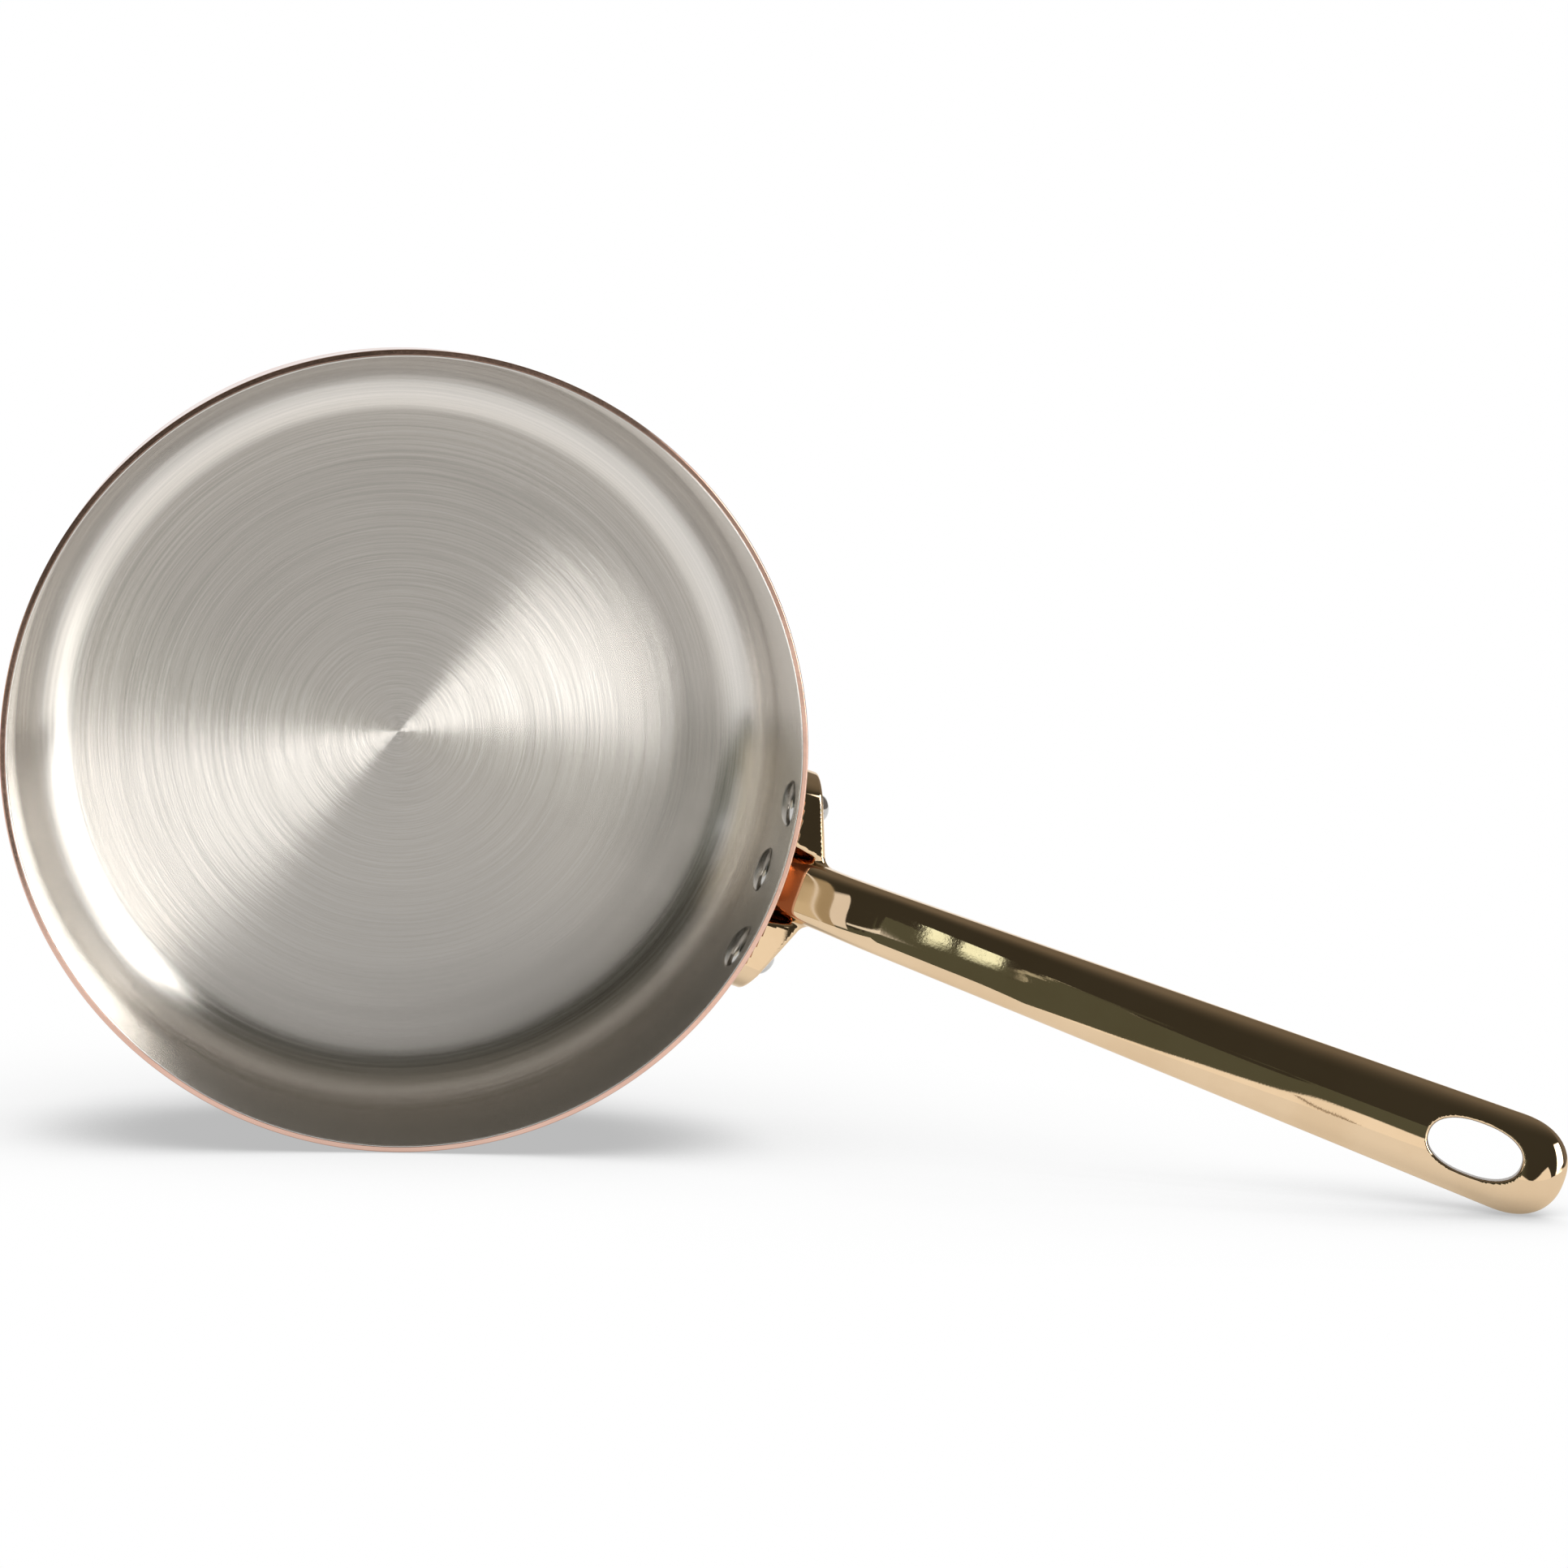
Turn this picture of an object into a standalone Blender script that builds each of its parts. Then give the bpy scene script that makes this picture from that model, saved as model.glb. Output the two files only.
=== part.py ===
"""Saute pan: a copper body lined with steel, and a cast bronze handle held by three rivets.

Metres, +Z up. The origin is the centre of the underside, and the handle runs out along +X.
"""

import math

import bmesh
import bpy
from mathutils import Matrix, Vector

# Body
PAN_RADIUS = 0.120
PAN_HEIGHT = 0.070
COPPER_THICKNESS = 0.0016
LINING_THICKNESS = 0.0006
FLOOR_FILLET = 0.018
RIM_ROUNDING = 0.00025
PIECE_GAP = 0.0003

# Rivets, placed from the rim and from the handle's plane: wide heads inside, hammered ends outside
RIVET_HEAD_RADIUS = 0.0072
RIVET_END_RADIUS = 0.0043
RIVET_DOME_HEIGHT = 0.0027
RIVET_EDGE_HEIGHT = 0.0004
RIVET_SHANK_RADIUS = 0.003
UPPER_RIVET_DROP = 0.0127
LOWER_RIVET_DROP = 0.0306
UPPER_RIVET_SPREAD = 0.0239

# Flange: flat pads that the rivets' outer ends sit on, each at an angle to the wall behind it
FLANGE_LAND = 0.0098
WING_THICKNESS = 0.0067
WING_TURN = math.radians(11.1)
TONGUE_THICKNESS = 0.0068
TONGUE_LEAN = math.radians(14.0)
FLANGE_EDGE_ROUNDING = 0.0022

# Neck: it leaves the wall below the rim, in a notch of the flange, and bends into the line of the grip
NECK_ROOT_DROP = 0.0143
NECK_ROOT_CLIMB = math.radians(43.0)
NECK_ROOT_WIDTH = 0.0215
NECK_ROOT_DEPTH = 0.0115
NOTCH_WIDTH = 0.0240
NOTCH_TAPER = math.radians(10.5)
NECK_RUN = 0.032
NECK_END_RISE = 0.0060

# Grip
GRIP_LENGTH = 0.213
GRIP_CLIMB = math.radians(18.0)
GRIP_START_WIDTH = 0.0196
GRIP_WIDTH = 0.0294
GRIP_START_DEPTH = 0.0104
GRIP_DEPTH = 0.0082
TIP_LENGTH = 0.0170
TIP_FULLNESS = 2.3
SECTION_FULLNESS = 2.6

# Hanging hole
HOLE_LENGTH = 0.0282
HOLE_WIDTH = 0.0156
HOLE_FROM_TIP = 0.0272
HOLE_FULLNESS = 2.3

# Fineness of the round forms
BODY_SEGMENTS = 96
ARC_STEPS = 7
RIM_STEPS = 2
EDGE_STEPS = 3
RIVET_SEGMENTS = 24
DOME_RINGS = 4
SECTION_POINTS = 28
NECK_RINGS = 8
GRIP_RINGS = 9
TIP_RINGS = 7
HOLE_POINTS = 40
SMOOTH_UP_TO = math.radians(40)
SQUARE_CORNER = math.radians(60)

# Sizes that follow from the ones above
RIM_RADIUS_INSIDE = PAN_RADIUS - COPPER_THICKNESS - PIECE_GAP - LINING_THICKNESS
SPREAD_ANGLE = UPPER_RIVET_SPREAD / PAN_RADIUS
UPPER_RIVET_Z = PAN_HEIGHT - UPPER_RIVET_DROP
LOWER_RIVET_Z = PAN_HEIGHT - LOWER_RIVET_DROP
GRIP_DIRECTION = Vector((math.cos(GRIP_CLIMB), 0.0, math.sin(GRIP_CLIMB)))
GRIP_START = Vector((PAN_RADIUS + NECK_RUN, 0.0, PAN_HEIGHT + NECK_END_RISE))
CUTTER_SPAN = 0.5 * PAN_RADIUS


def clear_scene():
    for item in list(bpy.data.objects):
        bpy.data.objects.remove(item, do_unlink=True)


def metal(name, colour, roughness):
    material = bpy.data.materials.new(name)
    material.use_nodes = True
    shader = material.node_tree.nodes["Principled BSDF"]
    shader.inputs["Base Color"].default_value = (*colour, 1.0)
    shader.inputs["Metallic"].default_value = 1.0
    shader.inputs["Roughness"].default_value = roughness
    return material


def add_object(name, bm, material=None):
    """Turn the bmesh into an object; one without a material is a cutter or a guide."""
    bmesh.ops.recalc_face_normals(bm, faces=bm.faces)
    mesh = bpy.data.meshes.new(name)
    bm.to_mesh(mesh)
    bm.free()
    item = bpy.data.objects.new(name, mesh)
    bpy.context.collection.objects.link(item)
    if material:
        mesh.materials.append(material)
        mesh.shade_smooth()
        mesh.set_sharp_from_angle(angle=SMOOTH_UP_TO)
    else:
        item.hide_render = True
        item.display_type = "WIRE"
    return item


def boolean(item, other, operation):
    modifier = item.modifiers.new(other.name, "BOOLEAN")
    modifier.operation = operation
    modifier.solver = "EXACT"
    modifier.object = other


def arc(centre, radius, start, end, steps):
    """Points on a circle in the plane of the profile, from one angle to another."""
    angles = [start + (end - start) * step / steps for step in range(steps + 1)]
    return [(centre[0] + radius * math.cos(a), centre[1] + radius * math.sin(a)) for a in angles]


def turned(profile):
    """Spin a profile of (radius, height) points, which starts and ends on the axis, round Z."""
    bm = bmesh.new()
    points = [bm.verts.new((radius, 0.0, height)) for radius, height in profile]
    for first, second in zip(points, points[1:]):
        bm.edges.new((first, second))
    bmesh.ops.spin(
        bm,
        geom=bm.verts[:] + bm.edges[:],
        cent=(0.0, 0.0, 0.0),
        axis=(0.0, 0.0, 1.0),
        angle=math.tau,
        steps=BODY_SEGMENTS,
        use_duplicate=False,
    )
    bmesh.ops.remove_doubles(bm, verts=bm.verts, dist=0.00001)
    return bm


def pan_wall_profile(outer_radius, base_height, thickness, inner_fillet):
    """A flat-bottomed pan in section: up the outside, over the rim, and down the inside."""
    quarter = math.pi / 2
    outer_fillet = inner_fillet + thickness
    rounding = RIM_ROUNDING
    inner_radius = outer_radius - thickness
    floor_height = base_height + thickness
    profile = [(0.0, base_height)]
    profile += arc(
        (outer_radius - outer_fillet, base_height + outer_fillet), outer_fillet, -quarter, 0.0, ARC_STEPS
    )
    profile += arc((outer_radius - rounding, PAN_HEIGHT - rounding), rounding, 0.0, quarter, RIM_STEPS)
    profile += arc((inner_radius + rounding, PAN_HEIGHT - rounding), rounding, quarter, math.pi, RIM_STEPS)
    profile += arc(
        (inner_radius - inner_fillet, floor_height + inner_fillet), inner_fillet, 0.0, -quarter, ARC_STEPS
    )
    profile.append((0.0, floor_height))
    return profile


def make_copper_shell():
    inner_fillet = FLOOR_FILLET + LINING_THICKNESS + PIECE_GAP
    profile = pan_wall_profile(PAN_RADIUS, 0.0, COPPER_THICKNESS, inner_fillet)
    colour = metal("polished_copper", (0.78, 0.45, 0.33), 0.22)
    return add_object("copper_shell", turned(profile), colour)


def make_steel_lining():
    outer_radius = PAN_RADIUS - COPPER_THICKNESS - PIECE_GAP
    base_height = COPPER_THICKNESS + PIECE_GAP
    profile = pan_wall_profile(outer_radius, base_height, LINING_THICKNESS, FLOOR_FILLET)
    colour = metal("brushed_steel", (0.66, 0.64, 0.61), 0.34)
    return add_object("steel_lining", turned(profile), colour)


def bridge(bm, first, second):
    """Join two rings of as many points with a band of quads."""
    count = len(first)
    for index in range(count):
        after = (index + 1) % count
        bm.faces.new((first[index], first[after], second[after], second[index]))


def skin(rings, start_point=None, end_point=None):
    """A closed body through rings of points, each end closed by a fan or by a flat face."""
    bm = bmesh.new()
    loops = [[bm.verts.new(point) for point in ring] for ring in rings]
    for first, second in zip(loops, loops[1:]):
        bridge(bm, first, second)
    for loop, point in ((loops[0], start_point), (loops[-1], end_point)):
        if point is None:
            bm.faces.new(loop)
            continue
        apex = bm.verts.new(point)
        for index, corner in enumerate(loop):
            bm.faces.new((corner, loop[(index + 1) % len(loop)], apex))
    return bm


def superellipse(angle, half_width, half_height, fullness):
    """A point on an oval that gets squarer as the fullness rises from 2."""
    cosine = math.cos(angle)
    sine = math.sin(angle)
    across = math.copysign(abs(cosine) ** (2 / fullness), cosine) * half_width
    along = math.copysign(abs(sine) ** (2 / fullness), sine) * half_height
    return across, along


def section(centre, climb, width, depth):
    """A ring of the handle, square to its run, which climbs by the given angle."""
    up = Vector((-math.sin(climb), 0.0, math.cos(climb)))
    ring = []
    for index in range(SECTION_POINTS):
        angle = math.tau * index / SECTION_POINTS
        across, rise = superellipse(angle, width / 2, depth / 2, SECTION_FULLNESS)
        ring.append(centre + Vector((0.0, across, 0.0)) + up * rise)
    return ring


def neck_rings():
    """Rings along a cubic curve from inside the wall to the start of the grip."""
    root_direction = Vector((math.cos(NECK_ROOT_CLIMB), 0.0, math.sin(NECK_ROOT_CLIMB)))
    wall_point = Vector((PAN_RADIUS, 0.0, PAN_HEIGHT - NECK_ROOT_DROP))
    root = wall_point - root_direction * NECK_ROOT_DEPTH
    pull = (GRIP_START - root).length / 3
    control = [root, root + root_direction * pull, GRIP_START - GRIP_DIRECTION * pull, GRIP_START]
    rings = []
    for index in range(NECK_RINGS):
        t = index / NECK_RINGS
        s = 1 - t
        centre = (
            control[0] * s**3 + control[1] * 3 * s * s * t + control[2] * 3 * s * t * t + control[3] * t**3
        )
        climb = NECK_ROOT_CLIMB + (GRIP_CLIMB - NECK_ROOT_CLIMB) * t
        width = NECK_ROOT_WIDTH + (GRIP_START_WIDTH - NECK_ROOT_WIDTH) * t
        depth = NECK_ROOT_DEPTH + (GRIP_START_DEPTH - NECK_ROOT_DEPTH) * t
        rings.append(section(centre, climb, width, depth))
    return rings


def grip_rings():
    """Rings along the straight grip, which widens, thins and ends in a full round tip."""
    straight = GRIP_LENGTH - TIP_LENGTH
    distances = [straight * index / GRIP_RINGS for index in range(GRIP_RINGS)]
    for index in range(TIP_RINGS):
        distances.append(straight + TIP_LENGTH * math.sin(math.pi / 2 * index / TIP_RINGS))
    rings = []
    for distance in distances:
        share = min(distance / straight, 1.0)
        width = GRIP_START_WIDTH + (GRIP_WIDTH - GRIP_START_WIDTH) * share
        depth = GRIP_START_DEPTH + (GRIP_DEPTH - GRIP_START_DEPTH) * share
        past = max(distance - straight, 0.0) / TIP_LENGTH
        width *= (1 - past**TIP_FULLNESS) ** (1 / TIP_FULLNESS)
        depth *= (1 - past ** (2 * TIP_FULLNESS)) ** (1 / SECTION_FULLNESS)
        rings.append(section(GRIP_START + GRIP_DIRECTION * distance, GRIP_CLIMB, width, depth))
    return rings


def rivet_seats():
    """For each rivet: its node name, the axis through the wall, and its pad's face."""
    seats = []
    for name, side in (("rivet_right", 1.0), ("rivet_left", -1.0)):
        angle = side * SPREAD_ANGLE
        axis = Vector((math.cos(angle), math.sin(angle), 0.0))
        turned_angle = side * (SPREAD_ANGLE + WING_TURN)
        normal = Vector((math.cos(turned_angle), math.sin(turned_angle), 0.0))
        point = axis * (PAN_RADIUS + WING_THICKNESS) + Vector((0.0, 0.0, UPPER_RIVET_Z))
        seats.append((name, axis, UPPER_RIVET_Z, point, normal))
    axis = Vector((1.0, 0.0, 0.0))
    normal = Vector((math.cos(TONGUE_LEAN), 0.0, -math.sin(TONGUE_LEAN)))
    point = Vector((PAN_RADIUS + TONGUE_THICKNESS, 0.0, LOWER_RIVET_Z))
    seats.append(("rivet_centre", axis, LOWER_RIVET_Z, point, normal))
    return seats


def flange_outline():
    """The flange seen from outside, as (y, z) points: a triangle of three round corners."""
    pad_y = (PAN_RADIUS + WING_THICKNESS) * math.sin(SPREAD_ANGLE)
    slope = math.atan2(UPPER_RIVET_Z - LOWER_RIVET_Z, pad_y)
    quarter = math.pi / 2
    corners = (
        ((0.0, LOWER_RIVET_Z), -quarter - slope, -quarter + slope),
        ((pad_y, UPPER_RIVET_Z), -quarter + slope, quarter),
        ((-pad_y, UPPER_RIVET_Z), quarter, 3 * quarter - slope),
    )
    outline = []
    for centre, start, end in corners:
        outline += arc(centre, FLANGE_LAND, start, end, ARC_STEPS)
    return outline


def make_flange_blank():
    """The flange before the wall is cut out of its back: a thick plate planed to its pads."""
    bm = bmesh.new()
    back = PAN_RADIUS - FLANGE_LAND
    face = bm.faces.new([bm.verts.new((back, y, z)) for y, z in flange_outline()])
    grown = bmesh.ops.extrude_face_region(bm, geom=[face])["geom"]
    front = [item for item in grown if isinstance(item, bmesh.types.BMVert)]
    bmesh.ops.translate(bm, verts=front, vec=(CUTTER_SPAN, 0.0, 0.0))
    for _name, _axis, _height, point, normal in rivet_seats():
        everything = bm.verts[:] + bm.edges[:] + bm.faces[:]
        cut = bmesh.ops.bisect_plane(
            bm, geom=everything, plane_co=point, plane_no=normal, clear_outer=True, dist=0.000001
        )
        edges = [item for item in cut["geom_cut"] if isinstance(item, bmesh.types.BMEdge)]
        bmesh.ops.edgeloop_fill(bm, edges=edges)
    bmesh.ops.recalc_face_normals(bm, faces=bm.faces)
    outer_edges = [
        edge
        for edge in bm.edges
        if edge.calc_face_angle() > SQUARE_CORNER and min(v.co.x for v in edge.verts) > back + PIECE_GAP
    ]
    bmesh.ops.bevel(
        bm, geom=outer_edges, offset=FLANGE_EDGE_ROUNDING, segments=EDGE_STEPS, profile=0.5, affect="EDGES"
    )
    return add_object("flange_blank", bm)


def make_notch_cutter():
    """A wedge over the neck's middle line, narrowing outwards, which parts the wings above the neck."""
    slope = math.tan(NECK_ROOT_CLIMB)
    middle_z = PAN_HEIGHT - NECK_ROOT_DROP
    reach = CUTTER_SPAN / 2
    corners = (
        (PAN_RADIUS - reach, middle_z - reach * slope),
        (PAN_RADIUS + reach, middle_z + reach * slope),
        (PAN_RADIUS + reach, middle_z + CUTTER_SPAN),
        (PAN_RADIUS - reach, middle_z + CUTTER_SPAN),
    )
    taper = math.tan(NOTCH_TAPER)
    half_widths = [NOTCH_WIDTH / 2 - (x - PAN_RADIUS) * taper for x, _z in corners]
    sides = [[(x, side * half, z) for (x, z), half in zip(corners, half_widths)] for side in (-1, 1)]
    return add_object("notch_cutter", skin(sides))


def make_wall_cutter():
    """What the handle keeps clear of: the pan's body and the gap round it."""
    bm = bmesh.new()
    bmesh.ops.create_cone(
        bm,
        cap_ends=True,
        segments=2 * BODY_SEGMENTS,
        radius1=PAN_RADIUS + PIECE_GAP,
        radius2=PAN_RADIUS + PIECE_GAP,
        depth=2 * CUTTER_SPAN + 2 * PAN_HEIGHT,
        matrix=Matrix.Rotation(math.pi / (2 * BODY_SEGMENTS), 4, "Z"),
    )
    return add_object("wall_cutter", bm)


def make_hole_cutter():
    """An oval bar square to the grip."""
    up = Vector((-GRIP_DIRECTION.z, 0.0, GRIP_DIRECTION.x))
    centre = GRIP_START + GRIP_DIRECTION * (GRIP_LENGTH - HOLE_FROM_TIP)
    rings = []
    for reach in (-GRIP_DEPTH, GRIP_DEPTH):
        ring = []
        for index in range(HOLE_POINTS):
            angle = math.tau * index / HOLE_POINTS
            along, across = superellipse(angle, HOLE_LENGTH / 2, HOLE_WIDTH / 2, HOLE_FULLNESS)
            ring.append(centre + up * reach + GRIP_DIRECTION * along + Vector((0.0, across, 0.0)))
        rings.append(ring)
    return add_object("hanging_hole", skin(rings))


def make_shank_cutter(name, axis, height):
    bm = bmesh.new()
    bmesh.ops.create_cone(
        bm,
        cap_ends=True,
        segments=RIVET_SEGMENTS,
        radius1=RIVET_SHANK_RADIUS + PIECE_GAP,
        radius2=RIVET_SHANK_RADIUS + PIECE_GAP,
        depth=CUTTER_SPAN,
    )
    half_step = Matrix.Rotation(math.pi / RIVET_SEGMENTS, 4, "Z")
    turn = axis.to_track_quat("Z", "Y").to_matrix().to_4x4()
    place = Matrix.Translation(axis * PAN_RADIUS + Vector((0.0, 0.0, height)))
    bmesh.ops.transform(bm, matrix=place @ turn @ half_step, verts=bm.verts)
    return add_object(name + "_hole", bm)


def head_rings(base, normal, first, second, head_radius):
    """Rings of a domed head, from its seat outwards, and the top of the dome."""
    rings = []
    levels = [(head_radius, 0.0)]
    for step in range(DOME_RINGS):
        angle = math.pi / 2 * step / DOME_RINGS
        rise = RIVET_EDGE_HEIGHT + (RIVET_DOME_HEIGHT - RIVET_EDGE_HEIGHT) * math.sin(angle)
        levels.append((head_radius * math.cos(angle), rise))
    for radius, rise in levels:
        ring = []
        for index in range(RIVET_SEGMENTS):
            angle = math.tau * (index + 0.5) / RIVET_SEGMENTS
            spoke = first * math.cos(angle) + second * math.sin(angle)
            ring.append(base + normal * rise + spoke * radius)
        rings.append(ring)
    return rings, base + normal * RIVET_DOME_HEIGHT


def make_rivet(name, axis, height, point, normal, material):
    """One rivet: a head against the lining, a shank, and a smaller end that sits on its pad."""
    level = Vector((0.0, 0.0, height))
    up = Vector((0.0, 0.0, 1.0))
    across = up.cross(axis)
    facet_radius = RIM_RADIUS_INSIDE * math.cos(math.pi / BODY_SEGMENTS) - PIECE_GAP
    inner_distance = math.sqrt(facet_radius**2 - RIVET_HEAD_RADIUS**2)
    inner_base = axis * inner_distance + level
    inner_rings, inner_top = head_rings(inner_base, -axis, across, up, RIVET_HEAD_RADIUS)

    outer_distance = (point + normal * PIECE_GAP - level).dot(normal) / axis.dot(normal)
    outer_base = axis * outer_distance + level
    tilted_across = (across - normal * across.dot(normal)).normalized()
    tilted_up = normal.cross(tilted_across)
    outer_rings, outer_top = head_rings(outer_base, normal, tilted_across, tilted_up, RIVET_END_RADIUS)

    inner_shank = []
    outer_shank = []
    for index in range(RIVET_SEGMENTS):
        angle = math.tau * (index + 0.5) / RIVET_SEGMENTS
        spoke = (across * math.cos(angle) + up * math.sin(angle)) * RIVET_SHANK_RADIUS
        inner_shank.append(inner_base + spoke)
        slide = (outer_base - inner_base - spoke).dot(normal) / axis.dot(normal)
        outer_shank.append(inner_base + spoke + axis * slide)
    rings = inner_rings[::-1] + [inner_shank, outer_shank] + outer_rings
    return add_object(name, skin(rings, inner_top, outer_top), material)


def main():
    clear_scene()
    shell = make_copper_shell()
    lining = make_steel_lining()

    bronze = metal("polished_bronze", (0.83, 0.62, 0.33), 0.12)
    handle = add_object("handle", skin(neck_rings() + grip_rings()), bronze)
    flange = make_flange_blank()
    boolean(flange, make_notch_cutter(), "DIFFERENCE")
    boolean(handle, flange, "UNION")
    boolean(handle, make_wall_cutter(), "DIFFERENCE")
    boolean(handle, make_hole_cutter(), "DIFFERENCE")

    for name, axis, height, point, normal in rivet_seats():
        steel = metal(name + "_steel", (0.60, 0.59, 0.57), 0.25)
        make_rivet(name, axis, height, point, normal, steel)
        cutter = make_shank_cutter(name, axis, height)
        for item in (shell, lining, handle):
            boolean(item, cutter, "DIFFERENCE")


main()
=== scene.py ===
"""Looks of the saute pan: brushed lining, polished copper and bronze, rivets, stage, light and camera.

Metres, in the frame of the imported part: +Z up out of the open top, +X out along the handle.
"""

import math

import bpy
import numpy as np
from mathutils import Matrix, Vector


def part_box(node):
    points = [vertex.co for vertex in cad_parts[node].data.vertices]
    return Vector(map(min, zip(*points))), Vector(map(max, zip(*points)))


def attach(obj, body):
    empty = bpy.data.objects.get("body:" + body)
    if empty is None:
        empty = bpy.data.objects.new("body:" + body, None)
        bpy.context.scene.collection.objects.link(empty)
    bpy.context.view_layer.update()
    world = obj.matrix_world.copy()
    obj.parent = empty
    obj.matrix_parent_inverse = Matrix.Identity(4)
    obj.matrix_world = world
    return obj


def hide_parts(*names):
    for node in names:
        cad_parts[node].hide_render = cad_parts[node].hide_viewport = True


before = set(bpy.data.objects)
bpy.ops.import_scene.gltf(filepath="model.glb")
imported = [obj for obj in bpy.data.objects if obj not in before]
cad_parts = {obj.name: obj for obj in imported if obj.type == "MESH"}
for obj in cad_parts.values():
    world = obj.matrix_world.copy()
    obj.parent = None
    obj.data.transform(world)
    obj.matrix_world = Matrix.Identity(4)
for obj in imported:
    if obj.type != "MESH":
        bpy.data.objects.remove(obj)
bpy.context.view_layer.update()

# Sizes of the part
PAN_RADIUS = 0.120
PAN_HEIGHT = 0.070
COPPER_THICKNESS = 0.0016
LINING_THICKNESS = 0.0006
FLOOR_FILLET = 0.018
RIVET_HEAD_RADIUS = 0.0072
RIVET_END_RADIUS = 0.0043
RIVET_DOME_HEIGHT = 0.0027
RIVET_SHANK_RADIUS = 0.003
UPPER_RIVET_DROP = 0.0127
LOWER_RIVET_DROP = 0.0306
UPPER_RIVET_SPREAD = 0.0239
FLANGE_LAND = 0.0098
WING_THICKNESS = 0.0067
WING_TURN = math.radians(11.1)
TONGUE_THICKNESS = 0.0068
TONGUE_LEAN = math.radians(14.0)
FLANGE_EDGE_ROUNDING = 0.0009
NECK_ROOT_DROP = 0.0143
NECK_ROOT_CLIMB = math.radians(43.0)
NECK_ROOT_WIDTH = 0.0215
NECK_ROOT_DEPTH = 0.0115
NOTCH_WIDTH = 0.0240
NOTCH_TAPER = math.radians(10.5)
NECK_RUN = 0.032
NECK_END_RISE = 0.0060
GRIP_LENGTH = 0.213
GRIP_CLIMB = math.radians(18.0)
GRIP_START_WIDTH = 0.0196
GRIP_WIDTH = 0.0294
GRIP_START_DEPTH = 0.0104
GRIP_DEPTH = 0.0082
TIP_LENGTH = 0.0170
TIP_FULLNESS = 2.3
HOLE_LENGTH = 0.0282
HOLE_WIDTH = 0.0156
HOLE_FROM_TIP = 0.0272
HOLE_FULLNESS = 2.3

# Sizes of the finer forms. A fullness is an oval's power: 2 is an ellipse, and more is squarer.
SKIN_GAP = 0.00003
RIM_OUTER_ROUNDING = 0.0004
RIM_INNER_ROUNDING = 0.0001
LINING_OUTER_ROUNDING = 0.0001
LINING_INNER_ROUNDING = 0.0004
NECK_FULLNESS = 4.5
TIP_ROUNDNESS = 2.05
WING_TOP_SLOPE = math.radians(6.0)
NECK_FILLET = 0.0025
HOLE_EDGE_ROUNDING = 0.0008
NOTCH_MOUTH_ROUNDING = 0.0010
NOTCH_EDGE_ROUNDING = 0.0012
SEAT_EDGE_ROUNDING = 0.0003
DOME_FULLNESS = 2.4
DOME_EDGE = 0.62
FLARE_START = 0.25
SOFTENING_SHARE = 0.75

# How finely the meshes are made
TURNED_SEGMENTS = 288
FLAT_STEPS = 24
BEND_STEPS = 20
WALL_STEPS = 10
LIP_STEPS = 6
RIVET_SEGMENTS = 72
DOME_RINGS = 14
CAST_CELL = 0.0006
CAST_MARGIN = 0.004
SLOPE_REACH = 0.00002
NORMAL_REACH = 0.00008
SHARP_ANGLE = math.radians(50)

UPPER_RIVET_Z = PAN_HEIGHT - UPPER_RIVET_DROP
LOWER_RIVET_Z = PAN_HEIGHT - LOWER_RIVET_DROP
SPREAD_ANGLE = UPPER_RIVET_SPREAD / PAN_RADIUS
GRIP_START_X = PAN_RADIUS + NECK_RUN
GRIP_START_Z = PAN_HEIGHT + NECK_END_RISE
LINING_OUTER_RADIUS = PAN_RADIUS - COPPER_THICKNESS - SKIN_GAP
LINING_INNER_RADIUS = LINING_OUTER_RADIUS - LINING_THICKNESS

# The photograph's directions, in the part's frame
PHOTO_TURN = math.radians(19.65)
PHOTO_RIGHT = Vector((math.cos(PHOTO_TURN), math.sin(PHOTO_TURN), 0.0))
PHOTO_UP = Vector((-math.sin(PHOTO_TURN), math.cos(PHOTO_TURN), 0.0))
PHOTO_NEAR = Vector((0.0, 0.0, 1.0))


# Camera

SENSOR_WIDTH = 36.0
LENS = 95.467
SHIFT = (0.05, -0.05)
CLIP = (0.05, 50.0)
CAMERA_PLACE = (-0.09694, 0.10877, 1.300)
CAMERA_DEGREES = (-5.6192, -6.6085, 20.1211)


def make_camera():
    data = bpy.data.cameras.new("camera")
    data.sensor_width = SENSOR_WIDTH
    data.lens = LENS
    data.shift_x, data.shift_y = SHIFT
    data.clip_start, data.clip_end = CLIP
    camera = bpy.data.objects.new("camera", data)
    camera.location = CAMERA_PLACE
    camera.rotation_euler = [math.radians(angle) for angle in CAMERA_DEGREES]
    bpy.context.collection.objects.link(camera)
    bpy.context.scene.camera = camera


# Node graphs

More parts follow.
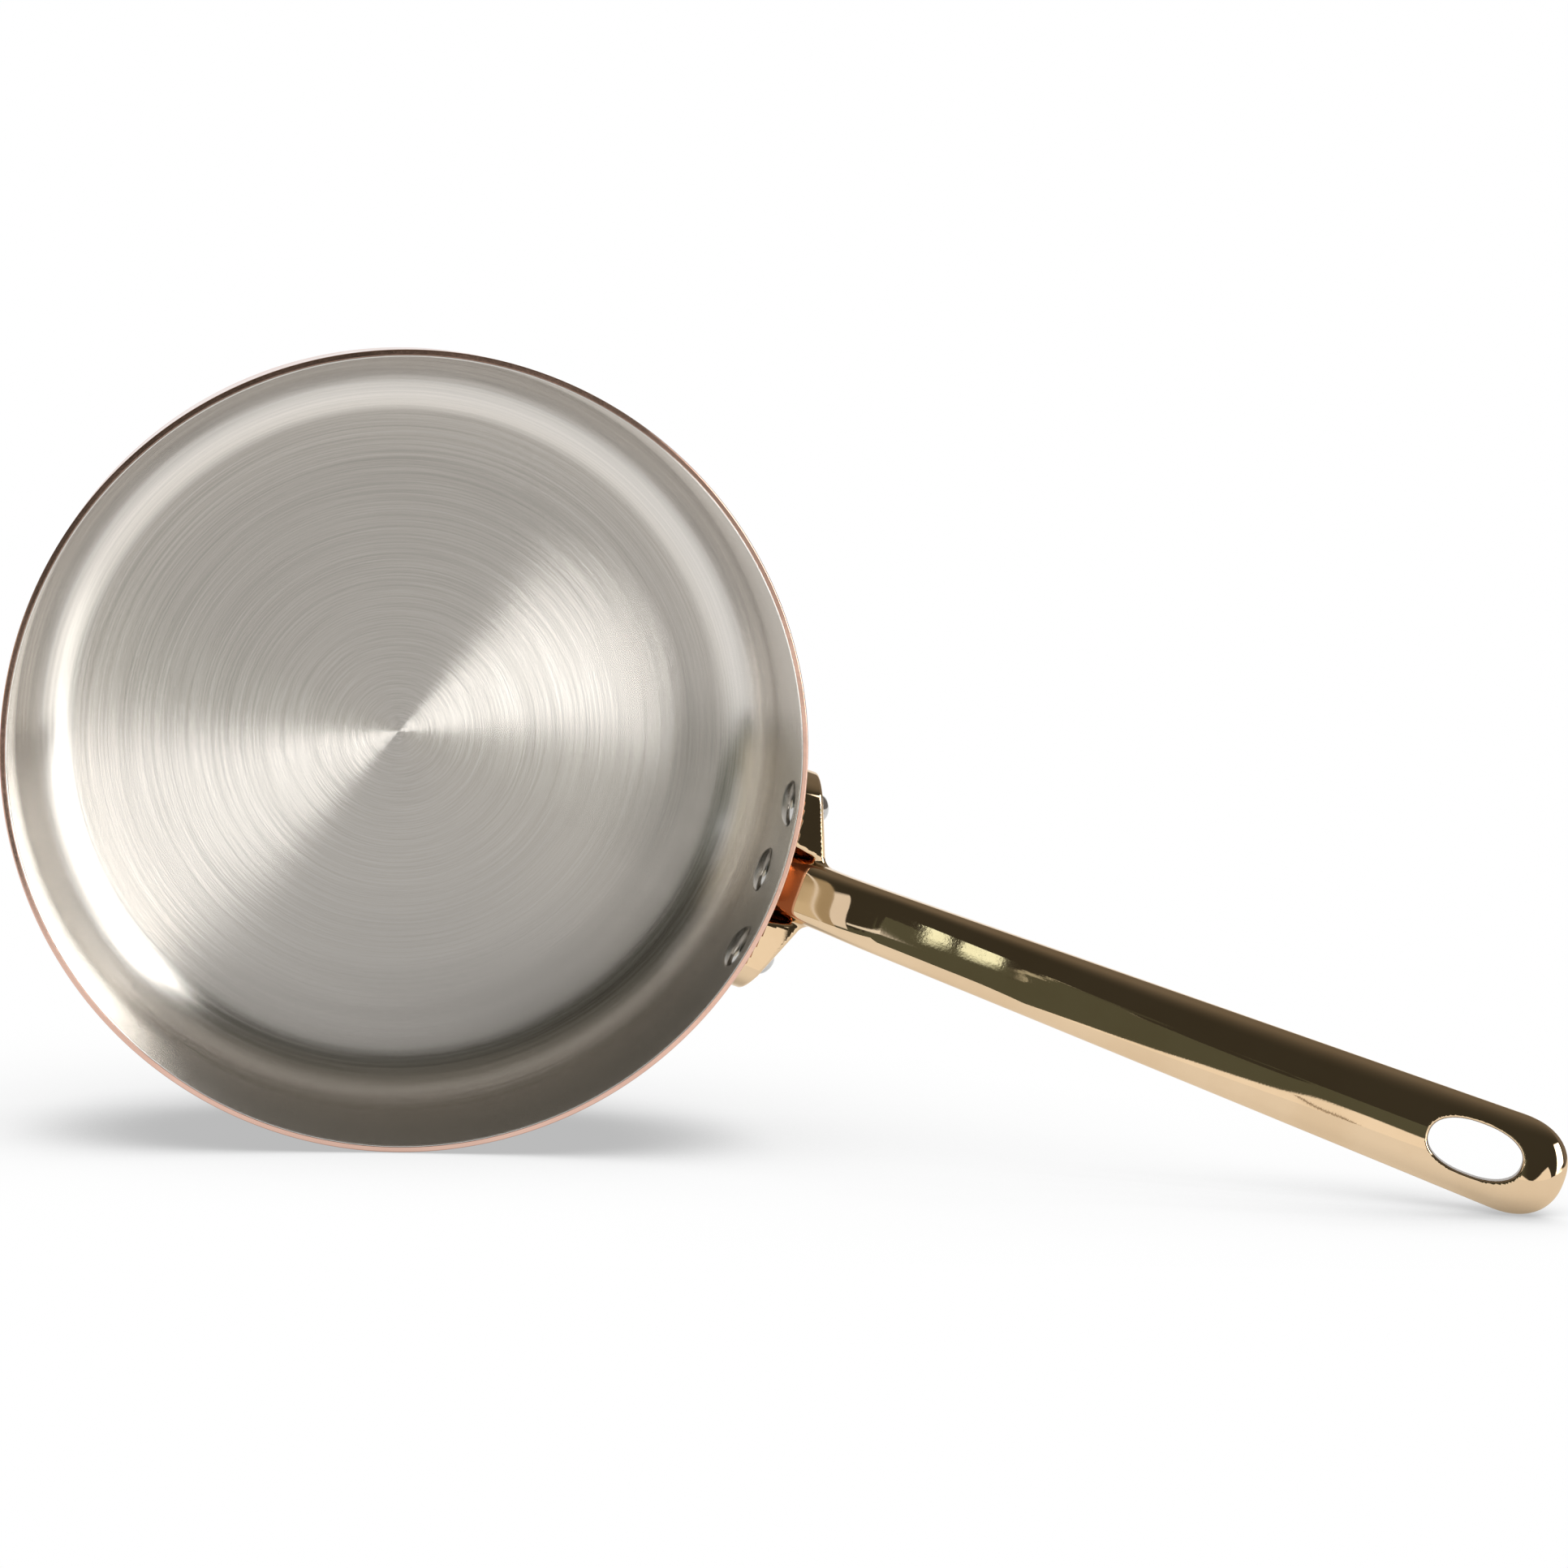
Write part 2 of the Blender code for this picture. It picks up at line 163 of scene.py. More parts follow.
class Graph:
    """Short names for the nodes of one material or world."""

    def __init__(self, tree):
        self.tree = tree

    def node(self, kind, **settings):
        made = self.tree.nodes.new(kind)
        for key, value in settings.items():
            setattr(made, key, value)
        return made

    def feed(self, socket, value):
        if isinstance(value, bpy.types.NodeSocket):
            self.tree.links.new(value, socket)
        elif isinstance(value, (tuple, list, Vector)) and socket.type == "RGBA":
            socket.default_value = (*value[:3], 1.0)
        else:
            socket.default_value = value

    def math(self, operation, first, second=0.0, clamp=False):
        made = self.node("ShaderNodeMath", operation=operation, use_clamp=clamp)
        self.feed(made.inputs[0], first)
        self.feed(made.inputs[1], second)
        return made.outputs[0]

    def dot(self, vector, direction):
        made = self.node("ShaderNodeVectorMath", operation="DOT_PRODUCT")
        self.feed(made.inputs[0], vector)
        self.feed(made.inputs[1], direction)
        return made.outputs["Value"]

    def steps(self, value, low, high, start=0.0, end=1.0):
        """A smooth change from start to end as the value goes from low to high."""
        made = self.node("ShaderNodeMapRange", interpolation_type="SMOOTHSTEP")
        for name, given in (
            ("Value", value), ("From Min", low), ("From Max", high), ("To Min", start), ("To Max", end)
        ):
            self.feed(made.inputs[name], given)
        return made.outputs["Result"]

    def mix(self, factor, first, second):
        made = self.node("ShaderNodeMix", data_type="RGBA")
        self.feed(made.inputs[0], factor)
        self.feed(made.inputs[6], first)
        self.feed(made.inputs[7], second)
        return made.outputs[2]

    def noise(self, vector, scale, detail=3.0, roughness=0.5):
        made = self.node("ShaderNodeTexNoise")
        self.feed(made.inputs["Vector"], vector)
        self.feed(made.inputs["Scale"], scale)
        self.feed(made.inputs["Detail"], detail)
        self.feed(made.inputs["Roughness"], roughness)
        return made.outputs["Fac"]

    def join(self, x, y, z):
        made = self.node("ShaderNodeCombineXYZ")
        for socket, value in zip(made.inputs, (x, y, z)):
            self.feed(socket, value)
        return made.outputs[0]

    def times(self, first, second):
        return self.math("MULTIPLY", first, second)

    def plus(self, first, second):
        return self.math("ADD", first, second)

    def minus(self, first, second):
        return self.math("SUBTRACT", first, second)

    def between(self, value, low, high, soft):
        """1 from low to high and 0 outside, each edge as wide as twice soft."""
        inside = self.steps(value, low - soft, low + soft)
        return self.times(inside, self.steps(value, high - soft, high + soft, 1.0, 0.0))

    def bump(self, height, strength, distance, under=None):
        """Small relief, on top of the relief under it where one is given."""
        made = self.node("ShaderNodeBump")
        self.feed(made.inputs["Strength"], strength)
        self.feed(made.inputs["Distance"], distance)
        self.feed(made.inputs["Height"], height)
        if under is not None:
            self.feed(made.inputs["Normal"], under)
        return made.outputs["Normal"]


# Materials

STEEL_DARK = (0.655, 0.625, 0.585)
STEEL_PALE = (0.770, 0.735, 0.693)
STEEL_FINE_RINGS = 2600.0
STEEL_MEDIUM_RINGS = 1100.0
STEEL_BROAD_RINGS = 95.0
BRUSHED_ALONG_RINGS = 0.25

COPPER_RIM = (0.73, 0.49, 0.395)
COPPER_RIM_WORN = (0.68, 0.44, 0.35)
COPPER_SIDE = (0.74, 0.36, 0.24)
COPPER_SIDE_WORN = (0.66, 0.30, 0.19)
# painted shade for the copper wall round the handle's root, and where it starts
COPPER_ROOT_SHADE = (0.34, 0.12, 0.06)
ROOT_SHADE_FROM_X = (PAN_RADIUS * 0.985, PAN_RADIUS * 0.99)
ROOT_SHADE_FROM_Z = (0.045, 0.052)
RIM_FROM_Z = (PAN_HEIGHT - 0.0012, PAN_HEIGHT - 0.0006)

BRONZE = (0.765, 0.575, 0.375)
BRONZE_WORN = (0.72, 0.53, 0.335)
# painted shade for the hanging hole's inside wall
BRONZE_HOLE_SHADE = (0.16, 0.11, 0.07)
HOLE_WALL_SIZE = (1.03, 1.0)
SATIN_FROM_X = (0.1275, 0.1285)
SATIN_TO_X = (0.137, 0.133)
WAVES_FROM_X = (0.172, 0.195)

RIVET_PALE = (0.60, 0.59, 0.57)
RIVET_DARK = (0.50, 0.49, 0.47)


def new_material(name):
    material = bpy.data.materials.new(name)
    material.use_nodes = True
    graph = Graph(material.node_tree)
    shader = material.node_tree.nodes["Principled BSDF"]
    shader.inputs["Metallic"].default_value = 1.0
    return material, graph, shader


def place_of(graph):
    """The point's place on the object, and its x, y and z."""
    vector = graph.node("ShaderNodeTexCoord").outputs["Object"]
    split = graph.node("ShaderNodeSeparateXYZ")
    graph.feed(split.inputs[0], vector)
    return vector, split.outputs[0], split.outputs[1], split.outputs[2]


def brushed_steel():
    """Steel brushed in rings round the pan's axis, on the floor, the bend and the wall alike."""
    material, graph, shader = new_material("lining_brushed_steel")
    vector, x, y, z = place_of(graph)
    radius = graph.math("SQRT", graph.plus(graph.times(x, x), graph.times(y, y)))
    safe = graph.math("MAXIMUM", radius, 0.0004)
    over_profile = graph.minus(radius, z)
    cosine = graph.math("DIVIDE", x, safe)
    sine = graph.math("DIVIDE", y, safe)

    def rings(fineness, turns, detail):
        place = graph.join(
            graph.times(over_profile, fineness), graph.times(cosine, turns), graph.times(sine, turns)
        )
        return graph.noise(place, 1.0, detail, 0.62)

    fine = rings(STEEL_FINE_RINGS, 1.3, 3.0)
    medium = rings(STEEL_MEDIUM_RINGS, 0.7, 3.0)
    broad = rings(STEEL_BROAD_RINGS, 0.5, 2.0)
    lines = graph.plus(graph.times(fine, 0.7), graph.times(medium, 0.3))
    colour = graph.mix(graph.steps(lines, 0.3, 0.7), STEEL_DARK, STEEL_PALE)
    graph.feed(shader.inputs["Base Color"], colour)
    rough = graph.plus(
        graph.steps(lines, 0.3, 0.7, 0.215, 0.255), graph.steps(broad, 0.3, 0.7, -0.01, 0.01)
    )
    graph.feed(shader.inputs["Roughness"], rough)
    shader.inputs["Anisotropic"].default_value = 1.0
    shader.inputs["Anisotropic Rotation"].default_value = BRUSHED_ALONG_RINGS
    tangent = graph.node("ShaderNodeTangent", direction_type="RADIAL", axis="Z")
    graph.feed(shader.inputs["Tangent"], tangent.outputs[0])
    graph.feed(shader.inputs["Normal"], graph.bump(lines, 0.05, 0.0002))
    return material


def polished_copper():
    """Copper, polished, with painted shade making it darker and browner round the handle's root."""
    material, graph, shader = new_material("polished_copper")
    vector, x, y, z = place_of(graph)
    cloud = graph.noise(vector, 28.0, 4.0, 0.6)
    fine = graph.noise(vector, 900.0, 2.0, 0.5)
    wear = graph.steps(cloud, 0.35, 0.7)
    rim = graph.mix(wear, COPPER_RIM, COPPER_RIM_WORN)
    side = graph.mix(wear, COPPER_SIDE, COPPER_SIDE_WORN)
    # painted shade round the handle's root, where the handle's neck shades the wall, broken up by the cloud
    # noise
    near_root = graph.times(graph.steps(x, *ROOT_SHADE_FROM_X), graph.steps(z, *ROOT_SHADE_FROM_Z))
    root_shade = graph.times(near_root, graph.steps(cloud, 0.1, 0.4, 0.75, 1.0))
    side = graph.mix(root_shade, side, COPPER_ROOT_SHADE)
    colour = graph.mix(graph.steps(z, *RIM_FROM_Z), side, rim)
    graph.feed(shader.inputs["Base Color"], colour)
    rough = graph.plus(graph.steps(cloud, 0.3, 0.75, 0.10, 0.17), graph.steps(fine, 0.4, 0.7, 0.0, 0.03))
    graph.feed(shader.inputs["Roughness"], rough)
    graph.feed(shader.inputs["Normal"], graph.bump(fine, 0.03, 0.0001))
    return material


def hole_size(graph, x, y, z):
    """How far a point is from the hanging hole's axis: 1 on the hole's wall."""
    climb_x, climb_z = math.cos(GRIP_CLIMB), math.sin(GRIP_CLIMB)
    start = GRIP_START_X * climb_x + GRIP_START_Z * climb_z + GRIP_LENGTH - HOLE_FROM_TIP
    along = graph.plus(graph.times(x, climb_x), graph.times(z, climb_z))
    long_share = graph.math("ABSOLUTE", graph.math("DIVIDE", graph.minus(along, start), HOLE_LENGTH / 2))
    wide_share = graph.math("ABSOLUTE", graph.math("DIVIDE", y, HOLE_WIDTH / 2))
    total = graph.plus(
        graph.math("POWER", long_share, HOLE_FULLNESS), graph.math("POWER", wide_share, HOLE_FULLNESS)
    )
    return graph.math("POWER", total, 1 / HOLE_FULLNESS)


def polished_bronze():
    """Cast bronze, mirror bright, satin at the neck's foot and with slight waves along the grip."""
    material, graph, shader = new_material("polished_bronze")
    vector, x, y, z = place_of(graph)
    cloud = graph.noise(vector, 35.0, 4.0, 0.6)
    wave = graph.noise(vector, 24.0, 1.0, 0.4)
    fine = graph.noise(vector, 1400.0, 2.0, 0.5)
    colour = graph.mix(graph.steps(cloud, 0.35, 0.7), BRONZE, BRONZE_WORN)
    # the hole's inside is rougher, and its colour is darkened by painted shade
    inside = graph.steps(hole_size(graph, x, y, z), *HOLE_WALL_SIZE)
    colour = graph.mix(inside, colour, BRONZE_HOLE_SHADE)
    graph.feed(shader.inputs["Base Color"], colour)
    neck = graph.times(graph.steps(x, *SATIN_FROM_X), graph.steps(x, *SATIN_TO_X))
    satin = graph.plus(graph.times(neck, 0.04), graph.times(inside, 0.25))
    rough = graph.plus(graph.steps(cloud, 0.3, 0.75, 0.012, 0.030), satin)
    graph.feed(shader.inputs["Roughness"], rough)
    waves = graph.bump(graph.times(wave, graph.steps(x, *WAVES_FROM_X)), 0.30, 0.0006)
    graph.feed(shader.inputs["Normal"], graph.bump(fine, 0.008, 0.0001, waves))
    return material


def rivet_steel():
    material, graph, shader = new_material("rivet_steel")
    vector, x, y, z = place_of(graph)
    cloud = graph.noise(vector, 260.0, 3.0, 0.6)
    colour = graph.mix(graph.steps(cloud, 0.3, 0.7), RIVET_PALE, RIVET_DARK)
    graph.feed(shader.inputs["Base Color"], colour)
    graph.feed(shader.inputs["Roughness"], graph.steps(cloud, 0.3, 0.7, 0.09, 0.15))
    graph.feed(shader.inputs["Normal"], graph.bump(cloud, 0.04, 0.0002))
    return material


# Meshes

def add_piece(name, points, faces, material, normals=None):
    mesh = bpy.data.meshes.new(name)
    mesh.from_pydata([tuple(p) for p in points], [], [tuple(f) for f in faces])
    mesh.materials.append(material)
    mesh.shade_smooth()
    if normals is not None:
        mesh.normals_split_custom_set_from_vertices([tuple(n) for n in normals])
    piece = bpy.data.objects.new(name, mesh)
    bpy.context.collection.objects.link(piece)
    return piece


def bend(centre, radius, start, end, steps, outward=1.0):
    """Profile points on an arc, each with its normal: (radius, height, normal's two parts)."""
    made = []
    for angle in np.linspace(start, end, steps + 1):
        out_r, out_z = math.cos(angle), math.sin(angle)
        place = (centre[0] + radius * out_r, centre[1] + radius * out_z)
        made.append((*place, out_r * outward, out_z * outward))
    return made


def run(first, second, normal, steps):
    """Profile points on a straight line, ends left out."""
    made = []
    for share in np.linspace(0.0, 1.0, steps + 1)[1:-1]:
        made.append((
            first[0] + (second[0] - first[0]) * share,
            first[1] + (second[1] - first[1]) * share,
            normal[0],
            normal[1],
        ))
    return made


def wall_profile(outer_radius, base, thickness, inner_fillet, outer_rounding, inner_rounding):
    """A flat-bottomed pan in section: up the outside, over the rim, and down the inside."""
    quarter = math.pi / 2
    outer_fillet = inner_fillet + thickness
    inner_radius = outer_radius - thickness
    floor = base + thickness
    outer_top = PAN_HEIGHT - outer_rounding
    inner_top = PAN_HEIGHT - inner_rounding
    profile = [(0.0, base, 0.0, -1.0)]
    profile += run((0.0, base), (outer_radius - outer_fillet, base), (0.0, -1.0), FLAT_STEPS)
    profile += bend(
        (outer_radius - outer_fillet, base + outer_fillet), outer_fillet, -quarter, 0.0, BEND_STEPS
    )
    profile += run((outer_radius, base + outer_fillet), (outer_radius, outer_top), (1.0, 0.0), WALL_STEPS)
    profile += bend((outer_radius - outer_rounding, outer_top), outer_rounding, 0.0, quarter, LIP_STEPS)
    profile += bend((inner_radius + inner_rounding, inner_top), inner_rounding, quarter, math.pi, LIP_STEPS)
    profile += run((inner_radius, inner_top), (inner_radius, floor + inner_fillet), (-1.0, 0.0), WALL_STEPS)
    profile += bend(
        (inner_radius - inner_fillet, floor + inner_fillet),
        inner_fillet,
        0.0,
        -quarter,
        BEND_STEPS,
        outward=-1.0,
    )
    profile += run((inner_radius - inner_fillet, floor), (0.0, floor), (0.0, 1.0), FLAT_STEPS)
    profile.append((0.0, floor, 0.0, 1.0))
    return profile


def turned_piece(name, profile, material, segments=TURNED_SEGMENTS):
    """The profile, which starts and ends on the axis, turned round Z."""
    points = [(0.0, 0.0, profile[0][1]), (0.0, 0.0, profile[-1][1])]
    normals = [(0.0, 0.0, profile[0][3]), (0.0, 0.0, profile[-1][3])]
    inner = profile[1:-1]
    for index in range(segments):
        angle = math.tau * index / segments
        c, s = math.cos(angle), math.sin(angle)
        for radius, height, out_r, out_z in inner:
            points.append((radius * c, radius * s, height))
            normals.append((out_r * c, out_r * s, out_z))
    count = len(inner)
    faces = []
    for index in range(segments):
        here = 2 + index * count
        there = 2 + (index + 1) % segments * count
        faces.append((0, there, here))
        faces.append((1, here + count - 1, there + count - 1))
        for step in range(count - 1):
            faces.append((here + step, there + step, there + step + 1, here + step + 1))
    return add_piece(name, points, faces, material, normals)


# The handle, as a field of distances whose zero is the surface

def unit(climb):
    return np.array((math.cos(climb), math.sin(climb)))


GRIP_START = np.array((GRIP_START_X, GRIP_START_Z))
GRIP_LINE = unit(GRIP_CLIMB)


def neck_line(count=500):
    """The neck's middle line in x and z, with each point's distance back from the grip."""
    root_line = unit(NECK_ROOT_CLIMB)
    wall_point = np.array((PAN_RADIUS, PAN_HEIGHT - NECK_ROOT_DROP))
    root = wall_point - root_line * NECK_ROOT_DEPTH
    pull = np.linalg.norm(GRIP_START - root) / 3
    control = (root, root + root_line * pull, GRIP_START - GRIP_LINE * pull, GRIP_START)
    t = np.linspace(0.0, 1.0, count)[:, None]
    s = 1 - t
    points = control[0] * s**3 + 3 * control[1] * s * s * t + 3 * control[2] * s * t * t + control[3] * t**3
    lengths = np.linalg.norm(np.diff(points, axis=0), axis=1)
    along = np.concatenate(((0.0,), np.cumsum(lengths)))
    return points, along - along[-1]


NECK_POINTS, NECK_ALONG = neck_line()
NECK_LENGTH = -NECK_ALONG[0]


def along_and_off(x, z):
    """How far along the middle line each point is, from the grip's start, and how far above it."""
    place = np.stack((x, z), axis=1)
    grip_along = (place - GRIP_START) @ GRIP_LINE
    grip_off = (place - GRIP_START) @ np.array((-GRIP_LINE[1], GRIP_LINE[0]))
    along = grip_along.copy()
    off = grip_off.copy()
    behind = np.flatnonzero(grip_along < 0)
    for start in range(0, len(behind), 20000):
        rows = behind[start:start + 20000]
        part = place[rows]
        gaps = ((part[:, None, :] - NECK_POINTS[None, ::10, :]) ** 2).sum(axis=2)
        coarse = gaps.argmin(axis=1) * 10
        best = np.full(len(rows), np.inf)
        for shift in range(-10, 10):
            first = np.clip(coarse + shift, 0, len(NECK_POINTS) - 2)
            line = NECK_POINTS[first + 1] - NECK_POINTS[first]
            length = np.linalg.norm(line, axis=1)
            line /= length[:, None]
            away = part - NECK_POINTS[first]
            run_along = (away * line).sum(axis=1)
            inside = np.clip(run_along, np.where(first == 0, -1.0, 0.0), length)
            side = away[:, 1] * line[:, 0] - away[:, 0] * line[:, 1]
            gap = (run_along - inside) ** 2 + side**2
            better = gap < best
            best = np.where(better, gap, best)
            along[rows[better]] = (NECK_ALONG[first] + inside)[better]
            off[rows[better]] = side[better]
    return along, off


def oval_distance(first, second, first_half, second_half, fullness):
    """About how far points are outside a full oval."""
    a = np.abs(first) / first_half
    b = np.abs(second) / second_half
    size = (a**fullness + b**fullness) ** (1 / fullness)
    size = np.maximum(size, 1e-6)
    slope = np.hypot(
        (a / size) ** (fullness - 1) / first_half, (b / size) ** (fullness - 1) / second_half
    )
    return (size - 1) / slope


def cut_round(distances, rounding):
    """Where several solids meet, with the outer edge rounded."""
    worst = distances[0]
    total = np.maximum(distances[0] + rounding, 0) ** 2
    for distance in distances[1:]:
        worst = np.maximum(worst, distance)
        total = total + np.maximum(distance + rounding, 0) ** 2
    return np.minimum(worst, -rounding) + np.sqrt(total)


def join_round(first, second, fillet):
    """Two solids together, with a fillet between them."""
    total = np.maximum(fillet - first, 0) ** 2 + np.maximum(fillet - second, 0) ** 2
    return np.maximum(np.minimum(first, second), fillet) - np.sqrt(total)


def bar_distance(y, along, off):
    """Neck and grip: a full oval that flares at the wall, widens along the grip and ends round."""
    straight = GRIP_LENGTH - TIP_LENGTH
    flare = np.clip((-along - FLARE_START * NECK_LENGTH) / ((1 - FLARE_START) * NECK_LENGTH), 0, 1) ** 2
    width = GRIP_START_WIDTH + (GRIP_WIDTH - GRIP_START_WIDTH) * np.minimum(along, straight) / straight
    root_width = GRIP_START_WIDTH - (GRIP_WIDTH - GRIP_START_WIDTH) * NECK_LENGTH / straight
    width = width + (NECK_ROOT_WIDTH - root_width) * flare
    depth = GRIP_START_DEPTH + (GRIP_DEPTH - GRIP_START_DEPTH) * np.minimum(along, straight) / straight
    past = np.maximum(along - straight, 0) / TIP_LENGTH
    a = 2 * np.abs(y) / width
    plan = (a**TIP_FULLNESS + past**TIP_FULLNESS) ** (1 / TIP_FULLNESS)
    share = np.clip(along / (SOFTENING_SHARE * GRIP_LENGTH), 0, 1)
    fullness = TIP_ROUNDNESS + (NECK_FULLNESS - TIP_ROUNDNESS) * (1 - share) ** 2
    return oval_distance(plan * width / 2, off, width / 2, depth / 2, fullness)


def rivet_seats():
    """For each rivet: its node name, the axis through the wall, its height, and its pad's face."""
    seats = []
    for name, side in (("rivet_right", 1.0), ("rivet_left", -1.0)):
        angle = side * SPREAD_ANGLE
        axis = Vector((math.cos(angle), math.sin(angle), 0.0))
        turned_angle = side * (SPREAD_ANGLE + WING_TURN)
        normal = Vector((math.cos(turned_angle), math.sin(turned_angle), 0.0))
        point = axis * (PAN_RADIUS + WING_THICKNESS) + Vector((0.0, 0.0, UPPER_RIVET_Z))
        seats.append((name, axis, UPPER_RIVET_Z, point, normal))
    axis = Vector((1.0, 0.0, 0.0))
    normal = Vector((math.cos(TONGUE_LEAN), 0.0, -math.sin(TONGUE_LEAN)))
    point = Vector((PAN_RADIUS + TONGUE_THICKNESS, 0.0, LOWER_RIVET_Z))
    seats.append(("rivet_centre", axis, LOWER_RIVET_Z, point, normal))
    return seats


def outline_distance(y, z):
    """The flange seen from outside: how far points are outside a triangle of three round corners."""
    pad_y = (PAN_RADIUS + WING_THICKNESS) * math.sin(SPREAD_ANGLE)
    corners = np.array(((0.0, LOWER_RIVET_Z), (pad_y, UPPER_RIVET_Z), (-pad_y, UPPER_RIVET_Z)))
    nearest = np.full(y.shape, np.inf)
    deepest = np.full(y.shape, -np.inf)
    for index in range(3):
        start = corners[index]
        line = corners[(index + 1) % 3] - start
        length = np.linalg.norm(line)
        line = line / length
        dy, dz = y - start[0], z - start[1]
        along = np.clip(dy * line[0] + dz * line[1], 0, length)
        nearest = np.minimum(nearest, np.hypot(dy - along * line[0], dz - along * line[1]))
        deepest = np.maximum(deepest, dy * line[1] - dz * line[0])
    return np.where(deepest > 0, nearest, deepest) - FLANGE_LAND


def flange_distance(x, y, z):
    top = z - UPPER_RIVET_Z - FLANGE_LAND + (np.hypot(x, y) - PAN_RADIUS) * math.tan(WING_TOP_SLOPE)
    faces = [outline_distance(y, z), top]
    for _name, _axis, _height, point, normal in rivet_seats():
        faces.append((x - point.x) * normal.x + (y - point.y) * normal.y + (z - point.z) * normal.z)
    plate = cut_round(faces, FLANGE_EDGE_ROUNDING)
    up = unit(NECK_ROOT_CLIMB)
    over_neck = (z - (PAN_HEIGHT - NECK_ROOT_DROP)) * up[0] - (x - PAN_RADIUS) * up[1]
    half_width = NOTCH_WIDTH / 2 - (x - PAN_RADIUS) * math.tan(NOTCH_TAPER)
    notch = cut_round([np.abs(y) - half_width, -over_neck], NOTCH_MOUTH_ROUNDING)
    return cut_round([plate, -notch], NOTCH_EDGE_ROUNDING)


def handle_distance(x, y, z):
    along, off = along_and_off(x, z)
    body = join_round(bar_distance(y, along, off), flange_distance(x, y, z), NECK_FILLET)
    from_hole = along - (GRIP_LENGTH - HOLE_FROM_TIP)
    hole = oval_distance(from_hole, y, HOLE_LENGTH / 2, HOLE_WIDTH / 2, HOLE_FULLNESS)
    body = cut_round([body, -hole], HOLE_EDGE_ROUNDING)
    wall = PAN_RADIUS + SKIN_GAP - np.hypot(x, y)
    return cut_round([body, wall], SEAT_EDGE_ROUNDING)


def sample_field(field, low, high, cell, block=4):
    """The field on a grid, worked out only near the surface."""
    counts = [int(math.ceil((h - l) / (cell * block))) for l, h in zip(low, high)]
    centres = [l + (np.arange(n) + 0.5) * cell * block - cell / 2 for l, n in zip(low, counts)]
    grid = np.stack(np.meshgrid(*centres, indexing="ij"), axis=-1).reshape(-1, 3)
    coarse = field(grid[:, 0], grid[:, 1], grid[:, 2]).reshape(counts)
    near = np.abs(coarse) < cell * block * 1.6
    fine = coarse
    for axis in range(3):
        fine = np.repeat(fine, block, axis=axis)
        near = np.repeat(near, block, axis=axis)
    rows = np.argwhere(near)
    places = np.array(low) + rows * cell
    values = field(places[:, 0], places[:, 1], places[:, 2])
    fine = fine.copy()
    fine[near] = values
    return fine


def field_surface(values, low, cell):
    """A quad mesh through the cells where the field changes sign."""
    inside = values < 0
    total = np.zeros(tuple(n - 1 for n in values.shape) + (3,), dtype=np.float32)
    hits = np.zeros(tuple(n - 1 for n in values.shape), dtype=np.int32)
    shape = hits.shape
    crossings = []
    for axis in range(3):
        first = [slice(None)] * 3
        second = [slice(None)] * 3
        first[axis] = slice(0, -1)
        second[axis] = slice(1, None)
        a, b = values[tuple(first)], values[tuple(second)]
        change = inside[tuple(first)] != inside[tuple(second)]
        rows = np.argwhere(change)
        share = a[change] / (a[change] - b[change])
        places = rows.astype(np.float64)
        places[:, axis] += share
        others = [n for n in range(3) if n != axis]
        corners = []
        for d0 in (0, -1):
            for d1 in (0, -1):
                cells = rows.copy()
                cells[:, others[0]] += d0
                cells[:, others[1]] += d1
                corners.append(cells)
        good = np.ones(len(rows), dtype=bool)
        for cells in corners:
            good &= ((cells >= 0) & (cells < shape)).all(axis=1)
        for cells in corners:
            chosen = tuple(cells[good].T)
            np.add.at(total, chosen, places[good])
            np.add.at(hits, chosen, 1)
        crossings.append((axis, [c[good] for c in corners], inside[tuple(first)][change][good]))
    used = hits > 0
    number = np.full(shape, -1, dtype=np.int64)
    number[used] = np.arange(used.sum())
    points = np.array(low) + total[used] / hits[used][:, None] * cell
    faces = []
    for axis, corners, starts_inside in crossings:
        c00, c01, c10, c11 = (number[tuple(c.T)] for c in corners)
        quads = np.stack((c00, c01, c11, c10), axis=1)
        flip = starts_inside if axis != 1 else ~starts_inside
        quads[flip] = quads[flip][:, ::-1]
        faces.append(quads)
    return points, np.concatenate(faces)


def field_slope(field, points, reach=SLOPE_REACH):
    """Which way and how fast the field rises at each point."""
    slope = np.zeros_like(points)
    for axis in range(3):
        shifted = points.copy()
        shifted[:, axis] += reach
        high = field(shifted[:, 0], shifted[:, 1], shifted[:, 2])
        shifted[:, axis] -= 2 * reach
        low = field(shifted[:, 0], shifted[:, 1], shifted[:, 2])
        slope[:, axis] = (high - low) / (2 * reach)
    return slope


def cast_piece(name, field, low, high, cell, material):
    """The field's surface, its points settled on it and its normals taken from the field."""
    points, faces = field_surface(sample_field(field, low, high, cell), low, cell)
    for _step in range(4):
        value = field(points[:, 0], points[:, 1], points[:, 2])
        slope = field_slope(field, points)
        size = (slope**2).sum(axis=1)
        move = -value / np.maximum(size, 0.05)
        points = points + slope * np.clip(move, -cell, cell)[:, None]
    slope = field_slope(field, points, NORMAL_REACH)
    normals = slope / np.linalg.norm(slope, axis=1)[:, None]
    return add_piece(name, points, faces, material, normals)


# Rivets

def dome(share):
    """Height of a rivet's dome over its seat, by the share of its radius from the middle."""
    return RIVET_DOME_HEIGHT * (1 - share**DOME_FULLNESS) ** DOME_EDGE


